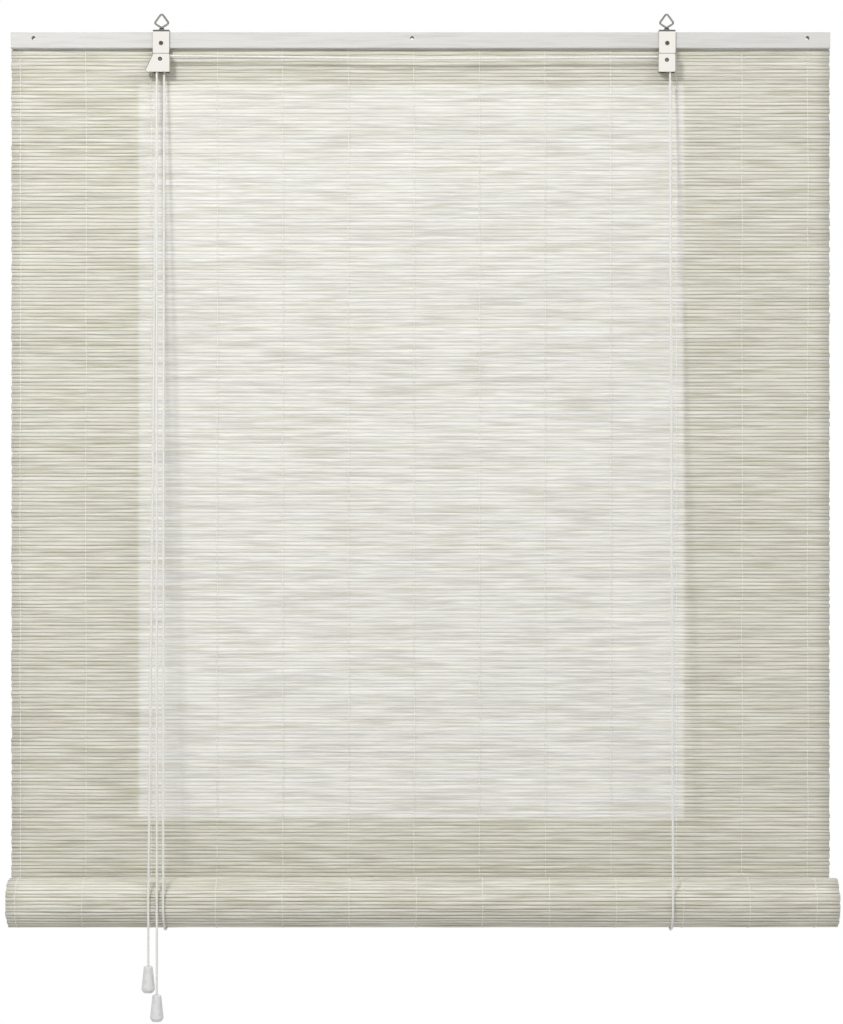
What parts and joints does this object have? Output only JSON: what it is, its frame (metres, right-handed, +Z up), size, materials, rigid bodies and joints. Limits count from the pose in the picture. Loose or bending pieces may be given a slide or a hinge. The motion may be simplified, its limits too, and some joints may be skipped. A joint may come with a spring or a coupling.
{
  "type": "bamboo roll up blind",
  "caption": "Roll up blind of narrow bound slats, partly raised, with a two-lath headrail, folded metal straps, cord lock, pulley, lift cords and pull toggles.",
  "frame": {"origin": "midway between the two end screw holes of the headrail, on its back face", "axes": "+X to the viewer's right along the headrail, +Y back towards the wall, +Z up"},
  "size_m": [0.902, 0.0743, 1.0972],
  "materials": {
    "white_paint": "matt white paint on wood",
    "slats": "white-washed slats",
    "nickel": "bright nickel plate",
    "cord": "braided white cord",
    "toggle_plastic": "light grey plastic"
  },
  "bodies": {
    "headrail": {"front_lath": "white_paint", "back_lath": "white_paint", "mat_drop": "slats", "hanger_strap_left": "nickel", "hanger_strap_right": "nickel", "strap_rivet_left": "nickel", "strap_rivet_right": "nickel", "cord_lock_housing": "nickel", "pulley_housing": "nickel", "lock_axle": "nickel", "pulley_axle": "nickel", "lift_cord_head_left": "cord", "lift_cord_head_right": "cord", "lift_cord_front_left": "cord", "lift_cord_front_right": "cord", "lift_cord_back_left": "cord", "lift_cord_back_right": "cord", "lift_cord_end_left": "cord", "lift_cord_end_right": "cord", "pull_cord_upper_left": "cord", "pull_cord_upper_right": "cord"},
    "roll_cradle": {"lift_cord_bight_left": "cord", "lift_cord_bight_right": "cord", "pull_cord_lower_left": "cord", "pull_cord_lower_right": "cord"},
    "roll": {"mat_roll": "slats", "bottom_lath": "white_paint"},
    "pull_left": {"toggle_left": "toggle_plastic", "pull_knot_left": "cord"},
    "pull_right": {"toggle_right": "toggle_plastic", "pull_knot_right": "cord"},
    "lock_sheave": {"lock_sheave": "nickel"},
    "pulley_sheave": {"pulley_sheave": "nickel"},
    "lock_roller": {"lock_roller": "nickel"},
    "eye_left": {"hanging_eye_left": "nickel"},
    "eye_right": {"hanging_eye_right": "nickel"}
  },
  "joints": [
    {"name": "roll_lift", "type": "slide", "parent": "headrail", "child": "roll_cradle", "axis": [0, 0, 1], "range_m": [0, 0.87], "deforming": ["mat_drop", "lift_cord_front_left", "lift_cord_front_right", "lift_cord_back_left", "lift_cord_back_right", "pull_cord_upper_left", "pull_cord_upper_right"]},
    {"name": "roll_spin", "type": "hinge", "parent": "roll_cradle", "child": "roll", "pos_m": [0, -0.0328, -0.9455], "axis": [1, 0, 0], "range_deg": [-1845, 0]},
    {"name": "pull_left_drop", "type": "slide", "parent": "roll_cradle", "child": "pull_left", "axis": [0, 0, -1], "range_m": [0, 2.62], "deforming": ["pull_cord_lower_left"]},
    {"name": "pull_right_drop", "type": "slide", "parent": "roll_cradle", "child": "pull_right", "axis": [0, 0, -1], "range_m": [0, 2.62], "deforming": ["pull_cord_lower_right"]},
    {"name": "lock_sheave_spin", "type": "hinge", "parent": "headrail", "child": "lock_sheave", "pos_m": [-0.285, -0.0172, -0.0246], "axis": [0, 1, 0], "continuous": true},
    {"name": "pulley_sheave_spin", "type": "hinge", "parent": "headrail", "child": "pulley_sheave", "pos_m": [0.2697, -0.0172, -0.0257], "axis": [0, 1, 0], "continuous": true},
    {"name": "lock_roller_slide", "type": "slide", "parent": "headrail", "child": "lock_roller", "axis": [-0.4315, 0, -0.9021], "range_m": [0, 0.0052]},
    {"name": "left_eye_swivel", "type": "hinge", "parent": "headrail", "child": "eye_left", "pos_m": [-0.2847, -0.00675, 0.0096], "axis": [0, 0, 1], "continuous": true},
    {"name": "right_eye_swivel", "type": "hinge", "parent": "headrail", "child": "eye_right", "pos_m": [0.2708, -0.00675, 0.0096], "axis": [0, 0, 1], "continuous": true}
  ],
  "couplings": [
    {"joint": "roll_spin", "follows": "roll_lift", "rad_per_m": -36.969},
    {"joint": "pull_left_drop", "follows": "roll_lift", "ratio": 3},
    {"joint": "pull_right_drop", "follows": "roll_lift", "ratio": 3}
  ]
}
